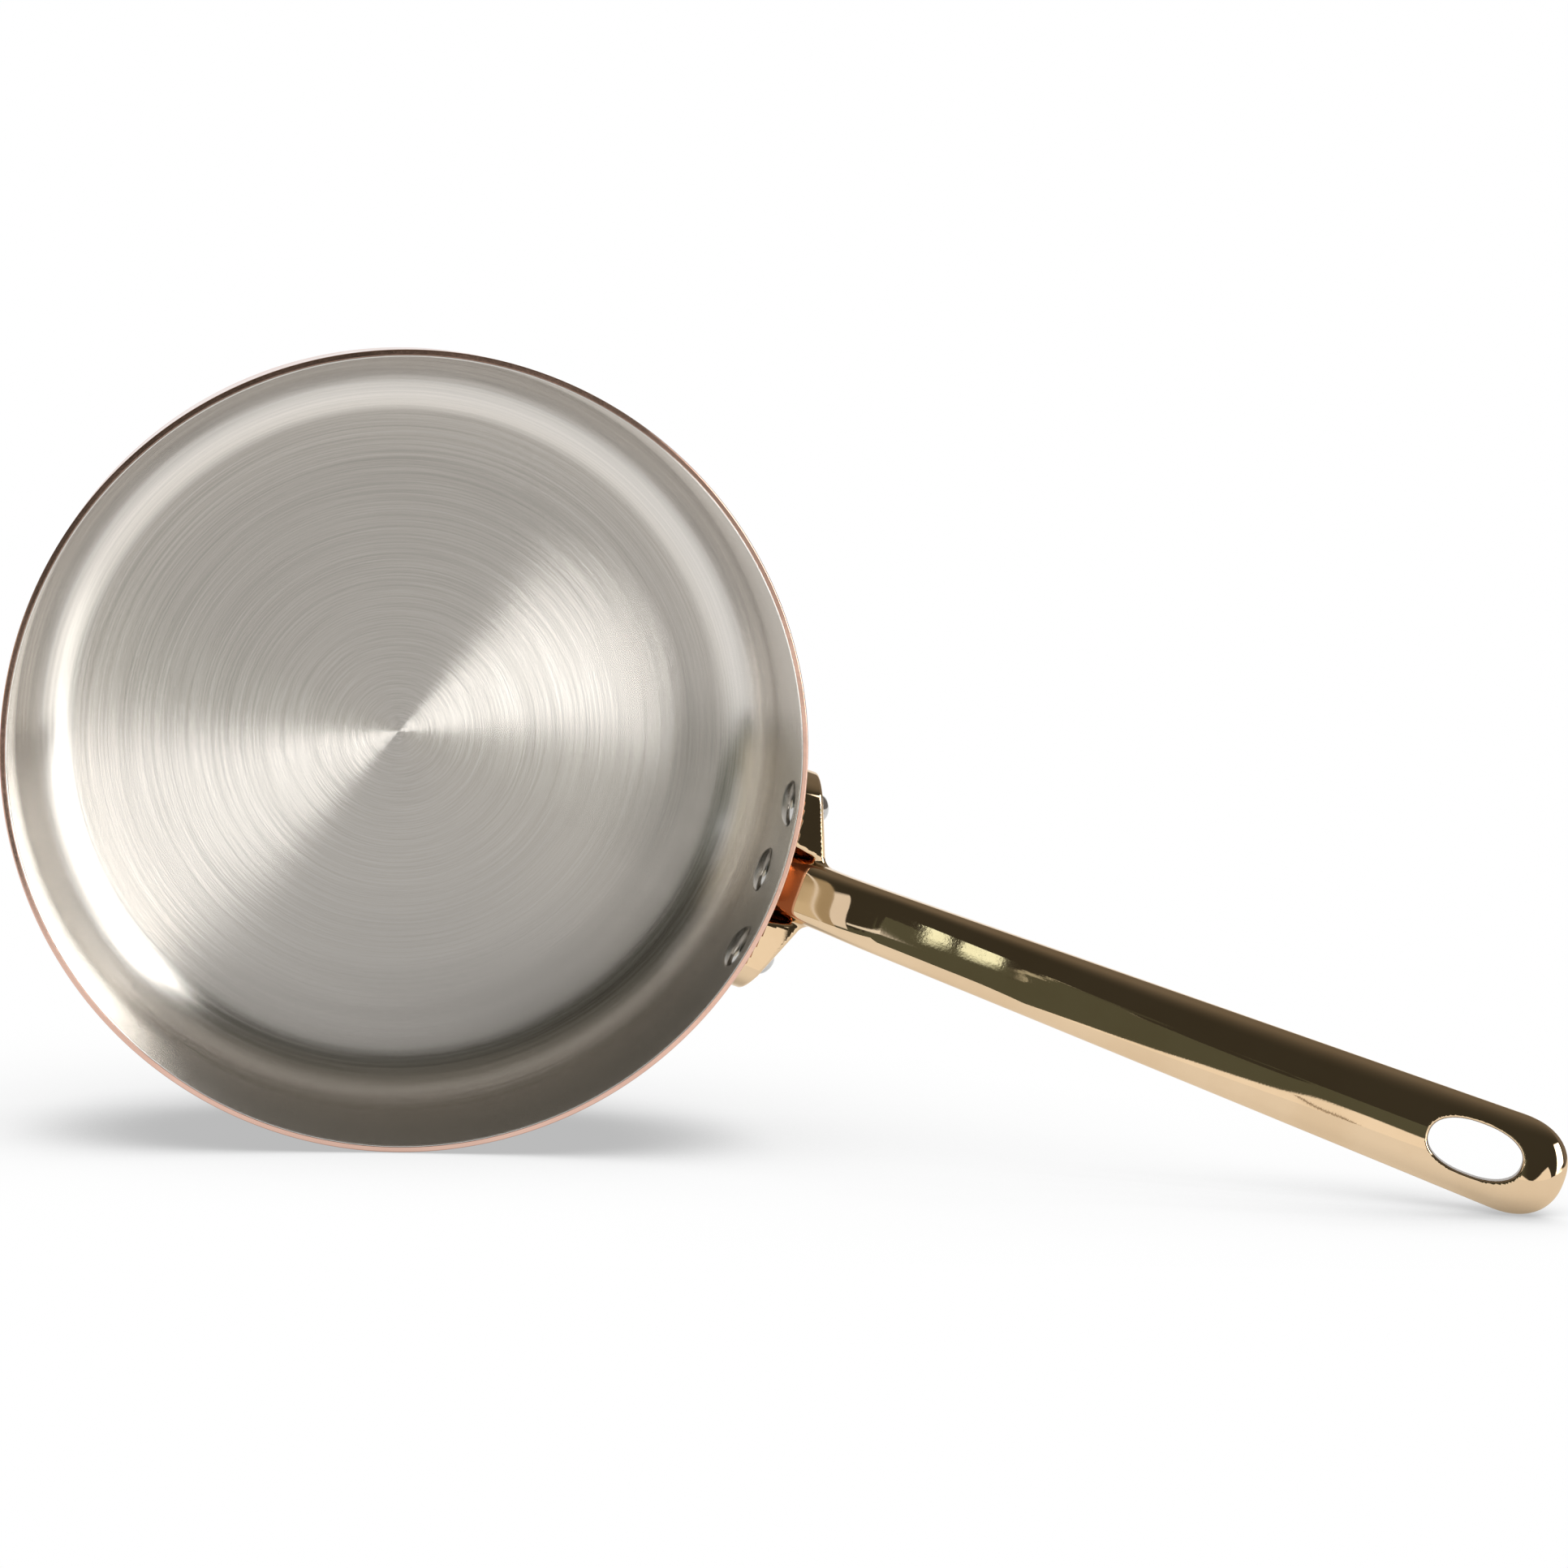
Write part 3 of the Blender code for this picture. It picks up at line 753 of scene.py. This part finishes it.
def make_rivet(name, axis, height, point, normal, material, segments=RIVET_SEGMENTS):
    """One rivet: a head that follows the lining, a shank, and a head that sits on its pad."""
    up = Vector((0.0, 0.0, 1.0))
    across = up.cross(axis)
    middle = math.atan2(axis.y, axis.x)
    shares = [math.sin(math.pi / 2 * n / DOME_RINGS) for n in range(DOME_RINGS + 1)]
    wall = LINING_INNER_RADIUS - SKIN_GAP

    def on_wall(sideways, rise, lift):
        angle = middle + sideways / wall
        reach = wall - lift
        return Vector((reach * math.cos(angle), reach * math.sin(angle), height + rise))

    def ring(place, radius):
        made = []
        for index in range(segments):
            angle = math.tau * index / segments
            made.append(place(radius * math.cos(angle), radius * math.sin(angle)))
        return made

    rings = []
    for share in shares[1:]:
        radius = RIVET_HEAD_RADIUS * share
        lift = dome(share)
        rings.append(ring(lambda a, b: on_wall(a, b, lift), radius))
    rings.append(ring(lambda a, b: on_wall(a, b, 0.0), RIVET_SHANK_RADIUS))

    outer_distance = (point - Vector((0.0, 0.0, height))).dot(normal) / axis.dot(normal) + SKIN_GAP
    outer_base = axis * outer_distance + Vector((0.0, 0.0, height))
    tilted_across = (across - normal * across.dot(normal)).normalized()
    tilted_up = normal.cross(tilted_across)

    def on_pad(sideways, rise, lift):
        return outer_base + tilted_across * sideways + tilted_up * rise + normal * lift

    rings.append(ring(lambda a, b: on_pad(a, b, 0.0), RIVET_SHANK_RADIUS))
    for share in shares[:0:-1]:
        radius = RIVET_END_RADIUS * share
        lift = dome(share)
        rings.append(ring(lambda a, b: on_pad(a, b, lift), radius))
    inner_top = on_wall(0.0, 0.0, RIVET_DOME_HEIGHT)
    outer_top = on_pad(0.0, 0.0, RIVET_DOME_HEIGHT)

    points = [inner_top, outer_top] + [p for r in rings for p in r]
    faces = []
    for index in range(segments):
        after = (index + 1) % segments
        faces.append((0, 2 + index, 2 + after))
        last = 2 + (len(rings) - 1) * segments
        faces.append((1, last + after, last + index))
        for row in range(len(rings) - 1):
            here = 2 + row * segments
            there = here + segments
            faces.append((here + index, there + index, there + after, here + after))
    piece = add_piece("look_" + name, points, faces, material)
    piece.data.set_sharp_from_angle(angle=SHARP_ANGLE)
    return piece


# Stage and light

GROUND_TURN = math.radians(18.0)
GROUND_BACK = -1.6
GROUND_FRONT = 0.21
GROUND_SIDE = 2.2
SHADE_REACH = 0.16
CONTACT_REACH = 0.05
GROUND_DOWN = Vector((math.sin(GROUND_TURN), -math.cos(GROUND_TURN), 0.0))
GROUND_ALONG = Vector((math.cos(GROUND_TURN), math.sin(GROUND_TURN), 0.0))


def make_ground():
    """White paper under the pan as it stands in the photograph, on its side. It glows white, and the pan's
    shadow on it is painted from ambient occlusion rather than cast by a light.

    Its front edge leaves the handle's tip free and comes forward only beside the camera's view.
    """
    edge = (
        (-GROUND_SIDE, GROUND_BACK),
        (GROUND_SIDE, GROUND_BACK),
        (GROUND_SIDE, GROUND_FRONT),
        (0.12, GROUND_FRONT),
        (-0.07, 0.49),
        (-0.5, 1.16),
        (-0.5, 0.3),
        (-GROUND_SIDE, 0.3),
    )
    corners = [GROUND_DOWN * PAN_RADIUS + GROUND_ALONG * along + PHOTO_NEAR * near for along, near in edge]
    material = bpy.data.materials.new("white_paper")
    material.use_nodes = True
    tree = material.node_tree
    tree.nodes.clear()
    graph = Graph(tree)
    # painted shadow: the paper's glow darkens where ambient occlusion finds the pan close by
    shade = graph.node("ShaderNodeAmbientOcclusion", samples=16)
    graph.feed(shade.inputs["Distance"], SHADE_REACH)
    near_shade = graph.node("ShaderNodeAmbientOcclusion", samples=16)
    graph.feed(near_shade.inputs["Distance"], CONTACT_REACH)
    wide = graph.steps(shade.outputs["AO"], 0.45, 1.0, 0.80, 1.0)
    close = graph.steps(near_shade.outputs["AO"], 0.35, 0.98, 0.62, 1.0)
    painted_shadow_level = graph.times(wide, close)
    glow = graph.node("ShaderNodeEmission")
    graph.feed(glow.inputs["Color"], graph.mix(painted_shadow_level, (0.0, 0.0, 0.0), (1.0, 1.0, 1.0)))
    clear = graph.node("ShaderNodeBsdfTransparent")
    sides = graph.node("ShaderNodeMixShader")
    graph.feed(sides.inputs[0], graph.node("ShaderNodeNewGeometry").outputs["Backfacing"])
    graph.feed(sides.inputs[1], glow.outputs[0])
    graph.feed(sides.inputs[2], clear.outputs[0])
    out = graph.node("ShaderNodeOutputMaterial")
    graph.feed(out.inputs["Surface"], sides.outputs[0])
    mesh = bpy.data.meshes.new("ground")
    mesh.from_pydata(corners, [], [tuple(range(len(corners)))[::-1]])
    mesh.materials.append(material)
    ground = bpy.data.objects.new("ground", mesh)
    bpy.context.collection.objects.link(ground)
    if mesh.polygons[0].normal.dot(GROUND_DOWN) > 0:
        mesh.flip_normals()
    ground.visible_shadow = False


# Colours of what the metal reflects
BACKDROP = (1.0, 1.0, 1.0)
ROOM_DARK = (0.050, 0.048, 0.038)
ROOM_CEILING = (0.20, 0.18, 0.15)
ROOM_RIGHT = (0.22, 0.20, 0.18)
ROOM_OLIVE = (0.105, 0.115, 0.085)
ROOM_STREAK = (0.55, 0.58, 0.5)
LEFT_WALL = (0.46, 0.40, 0.29)
LEFT_FAR = (0.76, 0.70, 0.56)
LEFT_STRIP = (0.95, 0.96, 1.0)
WINDOW = (1.3, 1.55, 1.4)
WINDOW_LEAVES = (0.20, 0.25, 0.10)
THIN_LIGHT = (1.0, 1.05, 1.1)
FRONT_FLOOR = (1.12, 1.10, 1.07)
FRONT_FAR = (1.18, 1.16, 1.13)
FLOOR_SEAM = (0.22, 0.16, 0.10)
KEY_LIGHT = (8.5, 8.5, 8.4)
KEY_SPILL = (2.6, 2.6, 2.5)

# Where it stands, in degrees to the right of the camera and up from it
CEILING_RISE = (24.0, 75.0)
RIGHT_WALL_ACROSS = (44.0, 60.0)
LEFT_WALL_ACROSS = (-50.3, -51.3)
LEFT_WALL_RISE = (-6.0, 26.0)
LEFT_FAR_ACROSS = (-55.5, -58.5)
LEFT_FAR_RISE = (19.0, 13.0)
WIDE_STRIP_ACROSS = (-51.0, -43.5)
WIDE_STRIP_RISE = (0.0, 15.0)
THIN_STRIP_ACROSS = (-58.6, -57.4)
OLIVE_RISE = (3.6, 2.8)
OLIVE_ACROSS = (-6.0, -12.0)
STREAK_RISE = (3.3, 3.7)
STREAK_ACROSS = (-22.7, -20.4)
THIN_LIGHT_LEAN = 0.22
THIN_LIGHT_RISE = (-3.6, -2.4)
THIN_LIGHT_ACROSS = (-43.0, -24.4)
WINDOW_LEAN = 0.36
WINDOW_ACROSS = (-24.67, -24.31)
WINDOW_RISE = (2.9, 6.4)
LEAVES_RISE = (3.1, 2.7)
FLOOR_PEAK_ACROSS = 8.0
FLOOR_PEAK_DROP = 2.6
FLOOR_LEFT_DROP = 4.5
FLOOR_DIP_ACROSS = -12.0
FLOOR_BEND_ACROSS = -19.5
FLOOR_FAR_RISE = (-16.0, -30.0)
BESIDE_ACROSS = (19.5, 21.5)
BESIDE_RISE = (-7.0, -10.0)
SEAM_LEAN = 0.17
SEAM_ACROSS = (-20.0, -19.8)
SEAM_RISE = (-26.0, -9.0)
SPILL_ACROSS = (24.0, 38.0)
SPILL_RISE = (-19.0, -8.0)
KEY_ACROSS = (22.5, 42.0)
KEY_START = 22.0
KEY_LOW_LEAN = 0.42
KEY_LOW_EDGE = (-11.5, -8.5)
KEY_HIGH_LEAN = 0.4
KEY_HIGH_EDGE = (22.0, 18.0)
BACKDROP_FROM = (-0.72, -0.80)


def room_behind(graph, colour, across, rise):
    """The dim room behind the camera: ceiling, right wall, and low down at the left a wavy olive part."""
    colour = graph.mix(graph.steps(rise, *CEILING_RISE), colour, ROOM_CEILING)
    wave = graph.noise(graph.join(across, rise, 0.0), 0.55, 2.0, 0.5)
    wavy = graph.plus(rise, graph.steps(wave, 0.3, 0.7, -1.5, 1.5))
    olive = graph.times(graph.steps(wavy, *OLIVE_RISE), graph.steps(across, *OLIVE_ACROSS))
    colour = graph.mix(olive, colour, ROOM_OLIVE)
    streak = graph.times(graph.between(wavy, *STREAK_RISE, 0.2), graph.between(across, *STREAK_ACROSS, 0.3))
    colour = graph.mix(streak, colour, ROOM_STREAK)
    return graph.mix(graph.steps(across, *RIGHT_WALL_ACROSS), colour, ROOM_RIGHT)


def wall_at_left(graph, colour, across, rise):
    """A wall at the left with upright pale strips, and a thin pale line over the table's edge."""
    far = graph.times(graph.steps(across, *LEFT_FAR_ACROSS), graph.steps(rise, *LEFT_FAR_RISE))
    wall = graph.mix(far, LEFT_WALL, LEFT_FAR)
    side = graph.times(graph.steps(across, *LEFT_WALL_ACROSS), graph.between(rise, *LEFT_WALL_RISE, 4.0))
    colour = graph.mix(side, colour, wall)
    strip = graph.times(
        graph.between(across, *WIDE_STRIP_ACROSS, 0.3), graph.between(rise, *WIDE_STRIP_RISE, 1.5)
    )
    colour = graph.mix(strip, colour, LEFT_STRIP)
    colour = graph.mix(graph.between(across, *THIN_STRIP_ACROSS, 0.4), colour, LEFT_STRIP)
    above_edge = graph.plus(rise, graph.times(across, THIN_LIGHT_LEAN))
    line = graph.times(
        graph.between(above_edge, *THIN_LIGHT_RISE, 0.3), graph.between(across, *THIN_LIGHT_ACROSS, 0.4)
    )
    return graph.mix(line, colour, THIN_LIGHT)


def far_window(graph, colour, across, rise):
    """A small, far, slanted window with leaves before it."""
    slant = graph.minus(across, graph.times(rise, WINDOW_LEAN))
    window = graph.times(graph.between(slant, *WINDOW_ACROSS, 0.03), graph.between(rise, *WINDOW_RISE, 0.2))
    leaves = graph.noise(graph.join(across, graph.times(rise, 0.5), 0.0), 3.2, 3.0, 0.6)
    leaves = graph.times(graph.steps(leaves, 0.46, 0.54), graph.steps(rise, *LEAVES_RISE))
    return graph.mix(window, colour, graph.mix(leaves, WINDOW, WINDOW_LEAVES))


def floor_in_front(graph, colour, across, rise):
    """The pale floor in front, its far edge bent, with one dark seam."""
    aside = graph.minus(across, FLOOR_PEAK_ACROSS)
    fall = graph.math("MAXIMUM", graph.times(aside, -0.6), graph.times(aside, 1.2))
    right_edge = graph.plus(fall, FLOOR_PEAK_DROP)
    dip = graph.times(graph.math("MAXIMUM", graph.plus(across, -FLOOR_DIP_ACROSS), 0.0), 0.7)
    slope = graph.times(graph.math("MAXIMUM", graph.minus(FLOOR_BEND_ACROSS, across), 0.0), 1.85)
    left_edge = graph.plus(graph.plus(dip, slope), FLOOR_LEFT_DROP)
    edge = graph.plus(rise, graph.math("MINIMUM", left_edge, right_edge))
    beside = graph.times(graph.steps(across, *BESIDE_ACROSS), graph.steps(rise, *BESIDE_RISE))
    floor = graph.math("MAXIMUM", graph.steps(edge, 0.5, -0.5), beside)
    pale = graph.mix(graph.steps(rise, *FLOOR_FAR_RISE), FRONT_FLOOR, FRONT_FAR)
    seam = graph.minus(across, graph.times(rise, SEAM_LEAN))
    seam = graph.times(graph.between(seam, *SEAM_ACROSS, 0.1), graph.between(rise, *SEAM_RISE, 0.5))
    return graph.mix(floor, colour, graph.mix(seam, pale, FLOOR_SEAM))


def key_light(graph, colour, across, rise):
    """A tall slanted soft light at the right of the camera, and its spill on what is below it."""
    spill = graph.times(graph.between(across, *SPILL_ACROSS, 2.0), graph.between(rise, *SPILL_RISE, 3.0))
    colour = graph.mix(spill, colour, KEY_SPILL)
    past = graph.minus(across, KEY_START)
    low_edge = graph.minus(rise, graph.times(past, KEY_LOW_LEAN))
    high_edge = graph.minus(rise, graph.times(past, KEY_HIGH_LEAN))
    key = graph.times(graph.steps(low_edge, *KEY_LOW_EDGE), graph.steps(high_edge, *KEY_HIGH_EDGE))
    key = graph.times(key, graph.between(across, *KEY_ACROSS, 1.5))
    return graph.mix(key, colour, KEY_LIGHT)


def make_world():
    """A studio: white backdrop, one tall soft light at the right, and a dim room behind the camera."""
    world = bpy.data.worlds.new("studio")
    bpy.context.scene.world = world
    world.use_nodes = True
    tree = world.node_tree
    tree.nodes.clear()
    graph = Graph(tree)
    sight = graph.node("ShaderNodeTexCoord").outputs["Generated"]
    right = graph.dot(sight, PHOTO_RIGHT)
    up = graph.dot(sight, PHOTO_UP)
    near = graph.dot(sight, PHOTO_NEAR)

    # degrees to the right and up of the direction towards the camera
    polar = graph.times(graph.math("ARCCOSINE", near), 180 / math.pi)
    flat = graph.math("SQRT", graph.minus(1.0001, graph.times(near, near)))
    across = graph.times(polar, graph.math("DIVIDE", right, flat))
    rise = graph.times(polar, graph.math("DIVIDE", up, flat))

    colour = ROOM_DARK
    for part in (room_behind, wall_at_left, far_window, floor_in_front, key_light):
        colour = part(graph, colour, across, rise)
    colour = graph.mix(graph.steps(near, *BACKDROP_FROM), colour, BACKDROP)

    studio = graph.node("ShaderNodeBackground")
    graph.feed(studio.inputs["Color"], colour)
    white = graph.node("ShaderNodeBackground")
    graph.feed(white.inputs["Color"], BACKDROP)
    paths = graph.node("ShaderNodeLightPath")
    choose = graph.node("ShaderNodeMixShader")
    graph.feed(choose.inputs[0], paths.outputs["Is Camera Ray"])
    graph.feed(choose.inputs[1], studio.outputs[0])
    graph.feed(choose.inputs[2], white.outputs[0])
    out = graph.node("ShaderNodeOutputWorld")
    graph.feed(out.inputs["Surface"], choose.outputs[0])


def main():
    make_camera()
    make_world()
    make_ground()

    copper = polished_copper()
    inner_fillet = FLOOR_FILLET + LINING_THICKNESS + SKIN_GAP
    shell = turned_piece(
        "look_copper_shell",
        wall_profile(PAN_RADIUS, 0.0, COPPER_THICKNESS, inner_fillet, RIM_OUTER_ROUNDING, RIM_INNER_ROUNDING),
        copper,
    )
    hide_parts("copper_shell")

    steel = brushed_steel()
    lining = turned_piece(
        "look_steel_lining",
        wall_profile(
            LINING_OUTER_RADIUS,
            COPPER_THICKNESS + SKIN_GAP,
            LINING_THICKNESS,
            FLOOR_FILLET,
            LINING_OUTER_ROUNDING,
            LINING_INNER_ROUNDING,
        ),
        steel,
    )
    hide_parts("steel_lining")

    bronze = polished_bronze()
    low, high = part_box("handle")
    handle = cast_piece(
        "look_handle",
        handle_distance,
        [value - CAST_MARGIN for value in low],
        [value + CAST_MARGIN for value in high],
        CAST_CELL,
        bronze,
    )
    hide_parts("handle")

    pieces = [shell, lining, handle]
    head_steel = rivet_steel()
    for name, axis, height, point, normal in rivet_seats():
        rivet = make_rivet(name, axis, height, point, normal, head_steel)
        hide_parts(name)
        pieces.append(rivet)
    for piece in pieces:
        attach(piece, "root")

    bpy.context.scene.view_settings.view_transform = "Standard"


main()
